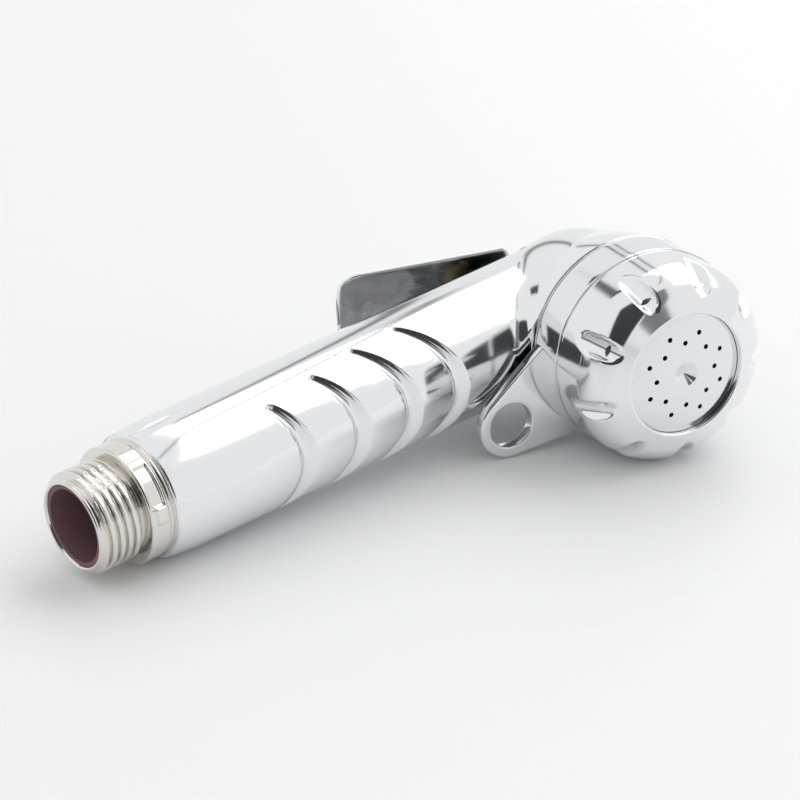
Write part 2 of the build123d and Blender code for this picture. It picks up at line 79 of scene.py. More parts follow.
def frame_matrix(x, y, z, origin):
    """Placement of a frame in mm with the given axes and origin."""
    turn = Matrix((x, y, z)).transposed().to_4x4()
    return Matrix.Translation(origin) @ turn @ Matrix.Scale(MM, 4)


NECK = crossing_point()
# Both frames count in mm. HEAD has x along the spray, y to the crown and z to the up side.
# HANDLE has x to the fingers, y to the up side and z to the inlet.
HEAD = frame_matrix(SPRAY, CROWN, UP_SIDE, HOLE_PLANE)
HANDLE = frame_matrix(FINGERS, UP_SIDE, ALONG, NECK)
NECK_BACK = (HOLE_PLANE - NECK).length / MM
NECK_ANGLE = math.acos(ALONG.dot(SPRAY))
INLET_REACH = (Vector(MOUNTS["inlet_face"]["pos_m"]) - NECK).dot(ALONG) / MM


# ---------------------------------------------------------------- sizes and colours

def size_mm(name, description, millimetres):
    """A length, given in millimetres and held in metres."""
    return FloatProperty(name=name, description=description, default=millimetres * MM,
                         unit="LENGTH", precision=5)


def angle_deg(name, description, degrees):
    """An angle, given in degrees and held in radians."""
    return FloatProperty(name=name, description=description, default=math.radians(degrees),
                         subtype="ANGLE")


def number(name, description, value):
    """A plain number."""
    return FloatProperty(name=name, description=description, default=value)


class SprayerBody(bpy.types.PropertyGroup):
    """Shell of the handle and head"""
    head_radius: size_mm("Head radius", "Outside radius of the head", 22.4)
    seam: size_mm("Rear seam", "Front edge of the housing from the hole plane", -25.0)
    dome_sweep: size_mm("Dome sweep", "Shift of the narrowing head away from the handle", 3.0)
    dome_length: size_mm("Dome length", "Length of the closing crown", 36.0)
    dome_power: number("Dome fullness", "How steadily the crown narrows", 1.2)
    handle_top: size_mm("Handle radius at the neck", "Radius where the handle meets the head", 14.9)
    handle_end: size_mm("Handle radius at the inlet", "Radius near the inlet end", 13.85)
    body_end: size_mm("Shell end", "Inlet end of the shell from the neck", 122.0)
    neck_fillet: size_mm("Neck fillet", "Radius of the hollow between handle and head", 6.0)
    wall: size_mm("Wall", "Thickness of the shell", 2.3)
    grip_lean: number("Grip lean", "How far each finger step leans", 0.92)
    grip_run: size_mm("Grip ramp", "Length of the ramp out of each step", 12.0)
    grip_groove: size_mm("Grip groove", "Radius of the groove along each step", 0.75)
    ring_count: IntProperty(name="Points round", description="Points round each section",
                            default=192)


class SprayerNozzle(bpy.types.PropertyGroup):
    """Fluted nozzle ring"""
    radius: size_mm("Radius", "Outside radius of the ring", 22.05)
    shoulder: size_mm("Shoulder", "Radius of the front shoulder", 4.7)
    flutes: IntProperty(name="Flutes", description="Number of finger flutes", default=9)
    flute_radius: size_mm("Flute radius", "Radius of each flute", 2.3)
    flute_start: angle_deg("First flute", "Angle of the first flute", 27.2)


class SprayerInlet(bpy.types.PropertyGroup):
    """Threaded hose inlet"""
    thread_crest: size_mm("Thread crest", "Radius over the crests", 10.4775)
    thread_root: size_mm("Thread root", "Radius at the roots", 9.3155)
    thread_pitch: size_mm("Thread pitch", "Distance between threads", 1.814)
    collar_radius: size_mm("Collar radius", "Radius of the collar", 12.25)
    collar_top: size_mm("Collar top", "Inlet side of the collar", 127.6)
    mould_angle: angle_deg("Mould line", "Angle of the worn mould lines", 70.0)


class SprayerLever(bpy.types.PropertyGroup):
    """Thumb lever"""
    length: size_mm("Length", "From the pin to the free end", 47.5)
    half_width: size_mm("Half width", "Half of the blade's width along its curve", 14.3)
    thickness: size_mm("Thickness", "Thickness of the blade", 1.8)
    corner: size_mm("Corner", "Rounding of the free corners", 5.5)
    curve_radius: size_mm("Cross curve", "Radius of the blade's cross curve", 25.0)
    barrel_radius: size_mm("Barrel radius", "Radius of the barrel on the pin", 2.8)
    barrel_half: size_mm("Barrel half width", "Half width of the barrel on the pin", 7.0)


class SprayerHanger(bpy.types.PropertyGroup):
    """Hanger band and tab"""
    band_radius: size_mm("Band radius", "Outside radius of the band", 22.4)
    band_front: size_mm("Band front", "Front of the band", -15.55)
    band_back: size_mm("Band back", "Back of the band", -24.45)
    tab_front: size_mm("Tab front", "Front face of the tab", -21.2)
    tab_back: size_mm("Tab back", "Back face of the tab", -23.9)
    tab_reach: size_mm("Eye reach", "Spray axis to the eye", 32.9)
    tab_end: size_mm("Tab end", "Radius of the tab round the eye", 7.4)
    tab_root: size_mm("Tab root", "Half width of the tab at the band", 11.5)
    tab_tilt: angle_deg("Tab tilt", "Turn of the tab from the handle", 22.0)
    eye: size_mm("Eye", "Radius of the eye", 5.0)


class SprayerStudio(bpy.types.PropertyGroup):
    """Camera, floor and light"""
    lens: FloatProperty(name="Lens", description="Focal length of the camera", default=103.5,
                        unit="CAMERA")
    place: FloatVectorProperty(name="Camera place", description="Camera in the head frame, in mm",
                               default=(367.6, -236.7, 210.5))
    right: FloatVectorProperty(name="Camera right", description="Direction to its right, in the "
                               "head frame", default=(0.449, 0.891, -0.066), subtype="DIRECTION")
    back: FloatVectorProperty(name="Camera back", description="Direction behind it, in the head "
                              "frame", default=(0.815, -0.378, 0.439), subtype="DIRECTION")
    floor_colour: FloatVectorProperty(name="Floor colour", description="Colour of the floor",
                                      default=(0.82, 0.82, 0.825), subtype="COLOR")
    sky: number("Fill light", "Strength of the surrounding light", 0.9)


OWN_NAMES = ("rna_type", "name")        # what every property group already has


class Sizes:
    """A property group's values, with the lengths in mm."""

    def __init__(self, group):
        for prop in group.bl_rna.properties:
            if prop.identifier not in OWN_NAMES:
                value = getattr(group, prop.identifier)
                setattr(self, prop.identifier, value / MM if prop.unit == "LENGTH" else value)


# ---------------------------------------------------------------- mesh helpers

def new_piece(name, bm, matrix, body, slot_name, replaced):
    """Turns a bmesh laid out in mm into a piece that rides on a body."""
    bmesh.ops.transform(bm, matrix=matrix, verts=bm.verts)
    mesh = bpy.data.meshes.new(name)
    bm.to_mesh(mesh)
    bm.free()
    mesh.polygons.foreach_set("use_smooth", [True] * len(mesh.polygons))
    piece = bpy.data.objects.new(name, mesh)
    bpy.context.scene.collection.objects.link(piece)
    mesh.materials.append(finish(slot_name))
    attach(piece, body)
    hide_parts(*replaced)
    return piece


SAME_PLACE = 1e-5             # corners closer than this are one, in mm


def grid_of(points):
    """A bmesh grid whose corners are laid on points[row, column]; columns close into rings."""
    rows, columns = points.shape[:2]
    bm = bmesh.new()
    bmesh.ops.create_grid(bm, x_segments=columns, y_segments=rows - 1, size=1.0)
    bm.verts.ensure_lookup_table()
    places = sorted(bm.verts, key=lambda v: (round(v.co.y, 6), round(v.co.x, 6)))
    closed = np.concatenate([points, points[:, :1]], axis=1).reshape(-1, 3)
    for vert, co in zip(places, closed):
        vert.co = co
    bmesh.ops.remove_doubles(bm, verts=bm.verts, dist=SAME_PLACE)
    bmesh.ops.recalc_face_normals(bm, faces=bm.faces)
    return bm


STRIDE = 0.75                 # share of the distance that a ray moves on by
LONGEST_RAY = 80.0


def round_join(a, b, radius):
    """Union of two distances with a fillet of the given radius."""
    u = np.maximum(radius - a, 0)
    v = np.maximum(radius - b, 0)
    return np.maximum(radius, np.minimum(a, b)) - np.hypot(u, v)


def round_cut(a, b, radius):
    """Material a with b taken away, the new edge rounded."""
    u = np.maximum(radius + a, 0)
    v = np.maximum(radius - b, 0)
    return np.minimum(-radius, np.maximum(a, -b)) + np.hypot(u, v)


def smooth_step(value, low, high):
    """0 below low, 1 above high and an even curve between."""
    t = np.clip((value - low) / (high - low), 0, 1)
    return t * t * (3 - 2 * t)


def cast(distance, start, direction, steps=90):
    """First surface met from each start along each direction."""
    travelled = np.zeros(start.shape[:-1])
    for _ in range(steps):
        here = start + direction * travelled[..., None]
        travelled = np.clip(travelled - STRIDE * distance(here), 0, LONGEST_RAY)
    return start + direction * travelled[..., None]


def join_grids(*grids):
    """One bmesh out of several closed skins."""
    whole = grid_of(grids[0])
    for points in grids[1:]:
        mesh = bpy.data.meshes.new("part")
        bm = grid_of(points)
        bm.to_mesh(mesh)
        bm.free()
        whole.from_mesh(mesh)
        bpy.data.meshes.remove(mesh)
    return whole


# ---------------------------------------------------------------- materials

def group_sockets(tree, ins, outs):
    """Makes a node group's sockets."""
    for name, kind, default in ins:
        socket = tree.interface.new_socket(name=name, in_out="INPUT", socket_type=kind)
        socket.default_value = default
    for name, kind in outs:
        tree.interface.new_socket(name=name, in_out="OUTPUT", socket_type=kind)


MARKS_GROUP = "Handling Marks"
RELIEF_DEPTH = 0.0002         # of the fine relief, in metres


def handling_marks_group():
    """Faint wiping haze and orange-peel for plated surfaces."""
    tree = bpy.data.node_groups.new(MARKS_GROUP, "ShaderNodeTree")
    group_sockets(
        tree,
        [("Scale", "NodeSocketFloat", 60.0), ("Roughness", "NodeSocketFloat", 0.05),
         ("Haze", "NodeSocketFloat", 0.05), ("Peel", "NodeSocketFloat", 0.1),
         ("Colour", "NodeSocketColor", (0.8, 0.8, 0.8, 1)),
         ("Tint", "NodeSocketColor", (0.7, 0.7, 0.7, 1))],
        [("Colour", "NodeSocketColor"), ("Roughness", "NodeSocketFloat"),
         ("Height", "NodeSocketFloat")],
    )
    nodes, links = tree.nodes, tree.links
    gin = nodes.new("NodeGroupInput")
    gout = nodes.new("NodeGroupOutput")
    where = nodes.new("ShaderNodeTexCoord")
    haze = nodes.new("ShaderNodeTexNoise")
    haze.inputs["Detail"].default_value = 5.0
    haze.inputs["Roughness"].default_value = 0.65
    links.new(where.outputs["Object"], haze.inputs["Vector"])
    links.new(gin.outputs["Scale"], haze.inputs["Scale"])
    spread = nodes.new("ShaderNodeMapRange")
    spread.inputs["From Min"].default_value = 0.45
    spread.inputs["From Max"].default_value = 0.75
    links.new(haze.outputs["Fac"], spread.inputs["Value"])
    rough = nodes.new("ShaderNodeMath")
    rough.operation = "MULTIPLY_ADD"
    links.new(spread.outputs["Result"], rough.inputs[0])
    links.new(gin.outputs["Haze"], rough.inputs[1])
    links.new(gin.outputs["Roughness"], rough.inputs[2])
    links.new(rough.outputs[0], gout.inputs["Roughness"])
    colour = nodes.new("ShaderNodeMix")
    colour.data_type = "RGBA"
    links.new(spread.outputs["Result"], colour.inputs["Factor"])
    links.new(gin.outputs["Colour"], colour.inputs["A"])
    links.new(gin.outputs["Tint"], colour.inputs["B"])
    links.new(colour.outputs["Result"], gout.inputs["Colour"])
    peel = nodes.new("ShaderNodeTexNoise")
    peel.inputs["Scale"].default_value = 260.0
    peel.inputs["Detail"].default_value = 2.0
    links.new(where.outputs["Object"], peel.inputs["Vector"])
    height = nodes.new("ShaderNodeMath")
    height.operation = "MULTIPLY"
    links.new(peel.outputs["Fac"], height.inputs[0])
    links.new(gin.outputs["Peel"], height.inputs[1])
    links.new(height.outputs[0], gout.inputs["Height"])
    return tree


def surface(name, colour, tint, metallic, roughness, haze, peel, scale, shine=0.5):
    """A finish whose colour, roughness and fine relief come from the handling marks."""
    material = bpy.data.materials.new(name)
    material.use_nodes = True
    nodes, links = material.node_tree.nodes, material.node_tree.links
    shader = nodes["Principled BSDF"]
    shader.inputs["Metallic"].default_value = metallic
    shader.inputs["Specular IOR Level"].default_value = shine
    marks = nodes.new("ShaderNodeGroup")
    marks.node_tree = bpy.data.node_groups.get(MARKS_GROUP) or handling_marks_group()
    for socket, value in (("Scale", scale), ("Roughness", roughness), ("Haze", haze),
                          ("Peel", peel), ("Colour", (*colour, 1)), ("Tint", (*tint, 1))):
        marks.inputs[socket].default_value = value
    links.new(marks.outputs["Colour"], shader.inputs["Base Color"])
    links.new(marks.outputs["Roughness"], shader.inputs["Roughness"])
    relief = nodes.new("ShaderNodeBump")
    relief.inputs["Strength"].default_value = 1.0
    relief.inputs["Distance"].default_value = RELIEF_DEPTH
    links.new(marks.outputs["Height"], relief.inputs["Height"])
    links.new(relief.outputs["Normal"], shader.inputs["Normal"])
    return material


FINISHES = {
    "plated_shell": dict(colour=(0.86, 0.865, 0.875), tint=(0.80, 0.805, 0.82), metallic=1.0,
                         roughness=0.035, haze=0.03, peel=0.02, scale=55.0),
    "plated_ring": dict(colour=(0.86, 0.865, 0.875), tint=(0.80, 0.805, 0.82), metallic=1.0,
                        roughness=0.04, haze=0.04, peel=0.03, scale=70.0),
    "spray_face": dict(colour=(0.80, 0.805, 0.81), tint=(0.74, 0.745, 0.75), metallic=1.0,
                       roughness=0.16, haze=0.08, peel=0.06, scale=80.0),
    "plated_lever": dict(colour=(0.82, 0.825, 0.835), tint=(0.74, 0.745, 0.76), metallic=1.0,
                         roughness=0.06, haze=0.06, peel=0.04, scale=60.0),
    "plated_hanger": dict(colour=(0.86, 0.865, 0.875), tint=(0.80, 0.805, 0.82), metallic=1.0,
                          roughness=0.04, haze=0.04, peel=0.03, scale=60.0),
    "nickel_thread": dict(colour=(0.62, 0.61, 0.59), tint=(0.20, 0.16, 0.12), metallic=1.0,
                          roughness=0.10, haze=0.30, peel=0.7, scale=520.0),
    "liner_brown": dict(colour=(0.012, 0.0034, 0.004), tint=(0.006, 0.002, 0.0025), metallic=0.0,
                        roughness=0.6, haze=0.2, peel=0.3, scale=150.0, shine=0.06),
    "lever_underside": dict(colour=(0.50, 0.50, 0.51), tint=(0.80, 0.80, 0.81), metallic=1.0,
                            roughness=0.16, haze=0.20, peel=0.6, scale=120.0),
    "inner_white": dict(colour=(0.72, 0.72, 0.69), tint=(0.62, 0.62, 0.58), metallic=0.0,
                        roughness=0.45, haze=0.1, peel=0.2, scale=120.0),
    "inner_grey": dict(colour=(0.18, 0.19, 0.20), tint=(0.13, 0.14, 0.15), metallic=0.0,
                       roughness=0.45, haze=0.1, peel=0.2, scale=120.0),
    "seal_rubber": dict(colour=(0.016, 0.016, 0.017), tint=(0.035, 0.035, 0.036), metallic=0.0,
                        roughness=0.6, haze=0.2, peel=0.4, scale=160.0),
    "steel": dict(colour=(0.55, 0.55, 0.55), tint=(0.42, 0.42, 0.42), metallic=1.0,
                  roughness=0.25, haze=0.1, peel=0.2, scale=200.0),
    "valve_brass": dict(colour=(0.70, 0.52, 0.22), tint=(0.55, 0.38, 0.15), metallic=1.0,
                        roughness=0.22, haze=0.12, peel=0.15, scale=160.0),
}


def finish(slot_name):
    """The material of a slot, made the first time it is asked for."""
    return bpy.data.materials.get(slot_name) or surface(slot_name, **FINISHES[slot_name])


# ---------------------------------------------------------------- body skin

# Each finger step: its height on the handle in mm, its depth in mm and its half angle in degrees.
GRIPS = ((88.0, 1.15, 58.0), (73.6, 1.35, 67.0), (59.5, 1.45, 75.0), (46.3, 1.45, 78.0))
STEP_EDGE, GROOVE_EDGE, SADDLE_EDGE = 0.18, 0.2, 0.4    # rounding of the cut edges
GROOVE_SHIFT = 0.45           # middle of the groove from the step
GROOVE_SINK = 0.62            # share of the step's depth where the groove runs
GROOVE_MARGIN = 5.0           # the groove stops this many degrees short of the step
SEAM_CLEAR = 20.0             # the seam cuts only this far towards the handle
LIP_LENGTH, LIP_DROP, LIP_POWER = 10.0, 0.66, 2.2       # the handle's rounding to the inlet end
SWEPT_SHARE = 0.7             # share of the crown over which it shifts
LEVER_SLOPE = 25.4            # blade against the handle at rest, in degrees
TROUGH_RADIUS, TROUGH_DEPTH = 22.8, 24.1                # the room for the lever, across
TROUGH_MIDDLE, TROUGH_HALF, TROUGH_SIDE = 35.0, 27.0, 14.2


def to_handle(p):
    """Points of the head frame in the handle frame."""
    c, s = math.cos(NECK_ANGLE), math.sin(NECK_ANGLE)
    x, y = p[..., 0] + NECK_BACK, p[..., 1]
    return np.stack([x * s + y * c, p[..., 2], x * c - y * s], axis=-1)


def to_head(q):
    """Points of the handle frame in the head frame."""
    c, s = math.cos(NECK_ANGLE), math.sin(NECK_ANGLE)
    x, z = q[..., 0], q[..., 2]
    return np.stack([x * s + z * c - NECK_BACK, x * c - z * s, q[..., 1]], axis=-1)


def dome_distance(p, size):
    """Distance from the head, which narrows behind the seam and closes at the crown."""
    share = np.maximum(size.seam - p[..., 0], 0) / size.dome_length + 1e-6
    swept = size.dome_sweep * smooth_step(share, 0.0, SWEPT_SHARE)
    radial = np.maximum(np.hypot(p[..., 1] - swept, p[..., 2]), 1e-3)
    level = np.sqrt((radial / size.head_radius) ** 2 + share ** size.dome_power)
    along = size.dome_power / 2 * share ** (size.dome_power - 1) / size.dome_length
    slope = np.hypot(radial / size.head_radius ** 2, along) / level
    return (level - 1) / np.maximum(slope, 0.02)


def handle_radius(z, size):
    """Radius of the handle at height z, with its rounding at the inlet end."""
    lip_start = size.body_end - LIP_LENGTH
    share = np.clip(z, 0, None) / lip_start
    lip = np.clip((z - lip_start) / LIP_LENGTH, 0, None)
    taper = (size.handle_end - size.handle_top) * share
    return size.handle_top + taper - LIP_DROP * lip ** LIP_POWER


def lever_saddle(q):
    """Room above the pressed lever, open to the thumb side."""
    press = JOINTS["lever_press"]
    pivot = HANDLE.inverted() @ Vector(press["pos_m"])
    slope = math.radians(LEVER_SLOPE - press["range_deg"][1])
    along, out = q[..., 2] - pivot.z, pivot.x - q[..., 0]
    v = out * math.cos(slope) - along * math.sin(slope)
    trough = TROUGH_RADIUS - np.hypot(q[..., 1], v + TROUGH_DEPTH)
    ends = np.abs(q[..., 2] - TROUGH_MIDDLE) - TROUGH_HALF
    sides = np.abs(q[..., 1]) - TROUGH_SIDE
    return np.maximum(np.maximum(trough, ends), sides)


def cut_grip(handle, q, radial, around, grip, size):
    """Takes one finger step and the groove along it out of the handle."""
    step, depth, half_angle = grip
    lean, half = size.grip_lean, math.radians(half_angle)
    radius = float(handle_radius(np.array(step), size))
    shift = depth / (1 - math.cos(half))
    centre = -shift + (q[..., 2] - (step + lean * depth)) * depth / size.grip_run
    floor = np.hypot(q[..., 0] - centre, q[..., 1]) - (radius + shift - depth)
    side = ((q[..., 2] - step) + lean * (q[..., 0] - radius)) / math.hypot(1, lean)
    cutter = -np.minimum(np.minimum(side, floor), q[..., 0])
    handle = round_cut(handle, cutter, STEP_EDGE)
    past = radius * np.maximum(around - math.radians(half_angle - GROOVE_MARGIN), 0)
    sunk = radial - radius + depth * GROOVE_SINK * np.clip(1 - (around / half) ** 2, 0, 1)
    groove = np.sqrt((side - GROOVE_SHIFT) ** 2 + sunk ** 2 + past ** 2) - size.grip_groove
    return round_cut(handle, groove, GROOVE_EDGE)


def body_distance(p, size):
    """Distance from the outside of the shell, for points of the head frame."""
    q = to_handle(p)
    radial = np.hypot(q[..., 0], q[..., 1])
    around = np.abs(np.arctan2(q[..., 1], q[..., 0]))
    handle = np.hypot(radial, np.minimum(q[..., 2], 0)) - handle_radius(q[..., 2], size)
    for grip in GRIPS:
        handle = cut_grip(handle, q, radial, around, grip, size)
    whole = round_join(handle, dome_distance(p, size), size.neck_fillet)
    behind_seam = p[..., 0] - size.seam - np.maximum(p[..., 1] + SEAM_CLEAR, 0)
    whole = np.minimum(np.maximum(whole, behind_seam), handle)
    return round_cut(whole, lever_saddle(q), SADDLE_EDGE)


NEAR_STEP = (1.2, 0.8, 0.5, 0.33, 0.2, 0.11, 0.04)      # sections close to a step, both sides
STEP_GAP, SECTION_GAP = 1.6, 0.8                        # plain sections: start and spacing
LAST_GRIP_SECTION = 43.6
FULL_LEAN = 92.0                                        # sections lean fully from here on
FAN_COUNT = 200               # sections turned round the neck, from the handle to the seam
FAN_FEET = (43.4, 30.4)       # first and last height of their feet on the handle
FAN_SHARE = 0.4               # share of them that stands on the handle
FAN_ANGLES, FAN_DEPTHS = (137.4, 180, 220, 286), (20.2, 15.5, 20.0, 22.6)


def ring_places(size):
    """Front height and lean of every section along the grip."""
    lean_turn = math.atan(size.grip_lean)
    end = size.body_end
    places = []
    for z in np.concatenate([np.linspace(end, end - 3, 8), np.linspace(end - 4, 90.0, 24)]):
        places.append((z, lean_turn * min(1.0, (end - z) / (end - FULL_LEAN))))
    steps = [grip[0] for grip in GRIPS]
    for i, step in enumerate(steps):
        places += [(step + d, lean_turn) for d in NEAR_STEP]
        places += [(step - d, lean_turn) for d in reversed(NEAR_STEP)]
        following = steps[i + 1] + STEP_GAP if i + 1 < len(steps) else LAST_GRIP_SECTION
        count = max(3, int((step - STEP_GAP - following) / SECTION_GAP))
        places += [(z, lean_turn) for z in np.linspace(step - STEP_GAP, following, count)]
    return places


def sections(size):
    """Centre and front of every section from the inlet to the rear seam, in the head frame."""
    centres, fronts = [], []
    for z, turn in ring_places(size):
        radius = float(handle_radius(np.array(z), size))
        back = np.array([-math.cos(turn), 0, math.sin(turn)])
        centres.append(np.array([radius, 0, z]) + back * radius / math.cos(turn))
        fronts.append(-back)
    first, last = math.pi - math.atan(size.grip_lean), 2 * math.pi - NECK_ANGLE
    seam_foot = to_handle(np.array([size.seam, -size.head_radius - 0.1, 0.0]))
    for i in range(1, FAN_COUNT):
        t = i / FAN_COUNT
        turned = first + (last - first) * t
        z = FAN_FEET[0] - (FAN_FEET[0] - FAN_FEET[1]) * min(1.0, t / FAN_SHARE)
        foot = np.array([float(handle_radius(np.array(z), size)), 0, z])
        foot = foot + (seam_foot - foot) * max(0.0, (t - FAN_SHARE) / (1 - FAN_SHARE))
        back = np.array([math.cos(turned), 0, math.sin(turned)])
        centres.append(foot + back * float(np.interp(math.degrees(turned), FAN_ANGLES, FAN_DEPTHS)))
        fronts.append(-back)
    centres, fronts = np.array(centres), np.array(fronts)
    return to_head(centres), to_head(fronts) - to_head(np.zeros(3))


def body_points(size):
    """Outer and inner skin of the shell as one closed band of sections."""
    centres, fronts = sections(size)
    turn = np.linspace(0, 2 * math.pi, size.ring_count, endpoint=False)
    up = np.array([0.0, 0.0, 1.0])
    rays = fronts[:, None, :] * np.cos(turn)[None, :, None] + up * np.sin(turn)[None, :, None]
    starts = np.repeat(centres[:, None, :], size.ring_count, axis=1)
    outer = cast(lambda p: body_distance(p, size), starts, rays)
    depth = np.linalg.norm(outer - starts, axis=-1, keepdims=True)
    inner = starts + rays * np.maximum(depth - size.wall, depth * 0.5)
    circle = np.stack([np.zeros_like(turn), -np.cos(turn), np.sin(turn)], axis=-1)
    seam = np.array([size.seam, 0, 0])
    chamfer, opening = 0.25, 18.3
    rim = [seam + circle * size.head_radius + (-chamfer, 0, 0),
           seam + circle * (size.head_radius - chamfer) + (0.02, 0, 0), seam + circle * opening]
    inside = [seam + circle * opening + (-2, 0, 0)] + list(inner[::-1][3::4])
    return np.array(list(outer) + rim + inside + [inner[0], outer[0]])


# ---------------------------------------------------------------- nozzle ring

FLUTE_TIP, FLUTE_TAIL = (1.4, 18.3, 0.0), (-9.5, 24.4, 0.0)
FLUTE_EDGE = 0.45             # rounding of a flute's edge
FACE_FROM, FACE_RADIUS = 0.4, 14.0                      # a point on the sloping front
FACE_FALL, FACE_RISE = 3.6, 1.4                         # slope of the front
FLARE, FLARE_FRONT, FLARE_LENGTH = 0.3, -5.6, 9.5       # widening to the back
RAY_RADIUS, RAY_BACK, RAY_SWEEP = 14.0, 9.0, 124.5      # circle the rays leave, and their sweep
# Bore of the ring as (x, radius), from the back edge to the front.
RING_BORE = ((-15.1, 22.55), (-15.1, 18.8), (-3.2, 18.8), (-3.2, 13.6), (0.15, 13.5), (0.4, 13.7))


def segment_distance(p, a, b):
    """Distance from the line between two points."""
    run = b - a
    share = np.clip(((p - a) @ run) / (run @ run), 0, 1)
    return np.linalg.norm(p - a - share[..., None] * run, axis=-1)


def ring_distance(p, size):
    """Distance from the outside of the fluted ring."""
    radial = np.hypot(p[..., 1], p[..., 2])
    cone = (p[..., 0] - FACE_FROM) * FACE_FALL + (radial - FACE_RADIUS) * FACE_RISE
    cone = cone / math.hypot(FACE_FALL, FACE_RISE)
    side = radial - (size.radius + FLARE * np.clip((FLARE_FRONT - p[..., 0]) / FLARE_LENGTH, 0, 1))
    solid = round_cut(cone, -side, size.shoulder)
    around = np.arctan2(p[..., 2], -p[..., 1])
    pitch = 2 * math.pi / size.flutes
    fold = (around - size.flute_start + pitch / 2) % pitch - pitch / 2
    local = np.stack([p[..., 0], radial * np.cos(fold), radial * np.sin(fold)], axis=-1)
    flute = segment_distance(local, np.array(FLUTE_TIP), np.array(FLUTE_TAIL)) - size.flute_radius
    return round_cut(solid, flute, FLUTE_EDGE)


def ring_points(size, columns=720, rays=110):
    """Outside and bore of the fluted ring, in the head frame."""
    turn = np.linspace(0, 2 * math.pi, columns, endpoint=False)
    out = np.stack([np.zeros_like(turn), -np.cos(turn), np.sin(turn)], axis=-1)
    axial = np.array([1.0, 0, 0])
    lift = np.radians(np.linspace(0, RAY_SWEEP, rays))
    rows = np.cos(lift)[:, None, None] * axial + np.sin(lift)[:, None, None] * out
    starts = np.broadcast_to(-RAY_BACK * axial + RAY_RADIUS * out, rows.shape)
    skin = cast(lambda p: ring_distance(p, size), starts, rows, steps=50)
    bore = [x * axial + r * out for x, r in RING_BORE]
    return np.array(list(skin) + bore + [skin[0]])


# ---------------------------------------------------------------- inlet

INLET_BORE, INLET_FOOT = 8.5, 112.0
THREAD_ROWS, INLET_COLUMNS = 110, 300
# Groove between collar and shell: depth below the collar, and height.
COLLAR_GROOVE = ((0.15, 123.35), (0.6, 123.3), (0.7, 123.1), (0.7, 122.3), (0.2, 122.2),
                 (0.0, 122.1), (0.0, 121.9))
RIM = ((0.0, 0.25), (0.2, 0.05), (0.4, 0.0), (0.6, 0.03), (0.8, 0.2))   # outwards, below the face


def spun_rows(profile, columns):
    """Profile of (radius, z) laid round the handle axis, as (row, column) arrays."""
    turn = np.linspace(0, 2 * math.pi, columns, endpoint=False)
    radius = np.repeat(np.array([p[0] for p in profile])[:, None], columns, axis=1)
    z = np.repeat(np.array([p[1] for p in profile])[:, None], columns, axis=1)
    return radius, z, np.broadcast_to(turn, radius.shape)


def inlet_profile(size):
    """Half section of the inlet without its thread, as (radius, z)."""
    top, collar, wide = INLET_REACH, size.collar_top, size.collar_radius
    low, high = collar + 0.15, top - 0.35
    profile = [(INLET_BORE, INLET_FOOT)] + [(INLET_BORE + out, top - below) for out, below in RIM]
    profile += [(size.thread_root, high + (low - high) * i / THREAD_ROWS)
                for i in range(THREAD_ROWS + 1)]
    profile += [(size.thread_root + 0.1, collar + 0.05), (size.thread_root + 0.4, collar)]
    profile += [(r, collar) for r in np.linspace(10.0, wide - 0.5, 8)]
    profile += [(wide - 0.3, collar - 0.03), (wide - 0.09, collar - 0.12)]
    profile += [(wide, z) for z in np.linspace(collar - 0.35, 123.5, 34)]
    profile += [(wide - inwards, z) for inwards, z in COLLAR_GROOVE]
    return profile + [(11.0, 121.8), (11.0, INLET_FOOT), (INLET_BORE, INLET_FOOT)]


def off_angle(turn, degrees):
    """Angle between a direction and a mark on the collar, without its sign."""
    return np.abs((turn - math.radians(degrees) + math.pi) % (2 * math.pi) - math.pi)


def nipple_points(size):
    """Collar, worn helical thread and lip of the hose inlet, in the handle frame."""
    top, collar = INLET_REACH, size.collar_top
    radius, z, turn = spun_rows(inlet_profile(size), INLET_COLUMNS)
    phase = (z / size.thread_pitch - turn / (2 * math.pi)) % 1.0
    crest = smooth_step(0.5 - np.abs(phase - 0.5), 0.10, 0.30)
    run_in = smooth_step(top - z, 0.5, 1.9) * smooth_step(z - collar, 0.3, 1.2)
    height = (size.thread_crest - size.thread_root) * crest * run_in
    mould = np.abs(np.cos(turn - size.mould_angle))
    height = np.minimum(height, 1.16 - 0.42 * smooth_step(mould, 0.955, 0.985))
    wear = 0.05 * np.sin(3 * turn + 2.1 * z) * np.sin(7 * turn - 1.3 * z + 0.6)
    height = height * (1 + wear)
    threaded = (z < top - 0.3) & (z > collar + 0.1) & (np.abs(radius - size.thread_root) < 0.02)
    radius = np.where(threaded, radius + height, radius)
    outside = (np.abs(radius - size.collar_radius) < 0.1) & (z > 123)
    lug_place, panel_place = off_angle(turn, 8), off_angle(turn, 36)
    lug = smooth_step(-lug_place * size.collar_radius, -1.9, -1.6)
    lug = lug * smooth_step(-np.abs(z - collar + 2.3), -1.3, -1.0)
    panel = smooth_step(-panel_place * size.collar_radius, -4.6, -4.2)
    panel = panel * smooth_step(-np.abs(z - collar + 2.2), -1.6, -1.3)
    radius = np.where(outside, radius + 0.75 * lug - 0.5 * panel, radius)
    return np.stack([radius * np.cos(turn), radius * np.sin(turn), z], axis=-1)


# ---------------------------------------------------------------- lever

NECK_HALF, NECK_FROM, NECK_TO = 7.0, 4.8, 8.8           # the blade widens between these
LEVER_COLUMNS, PIN_HOLE = 220, 1.55


def lever_matrix():
    """Lever frame in mm: x outwards, y across, z along the blade from the pin."""
    pivot = Vector(JOINTS["lever_press"]["pos_m"])
    turn = HANDLE.to_3x3().normalized() @ Matrix.Rotation(-math.radians(LEVER_SLOPE), 3, "Y")
    return Matrix.Translation(pivot) @ turn.to_4x4() @ Matrix.Scale(MM, 4)


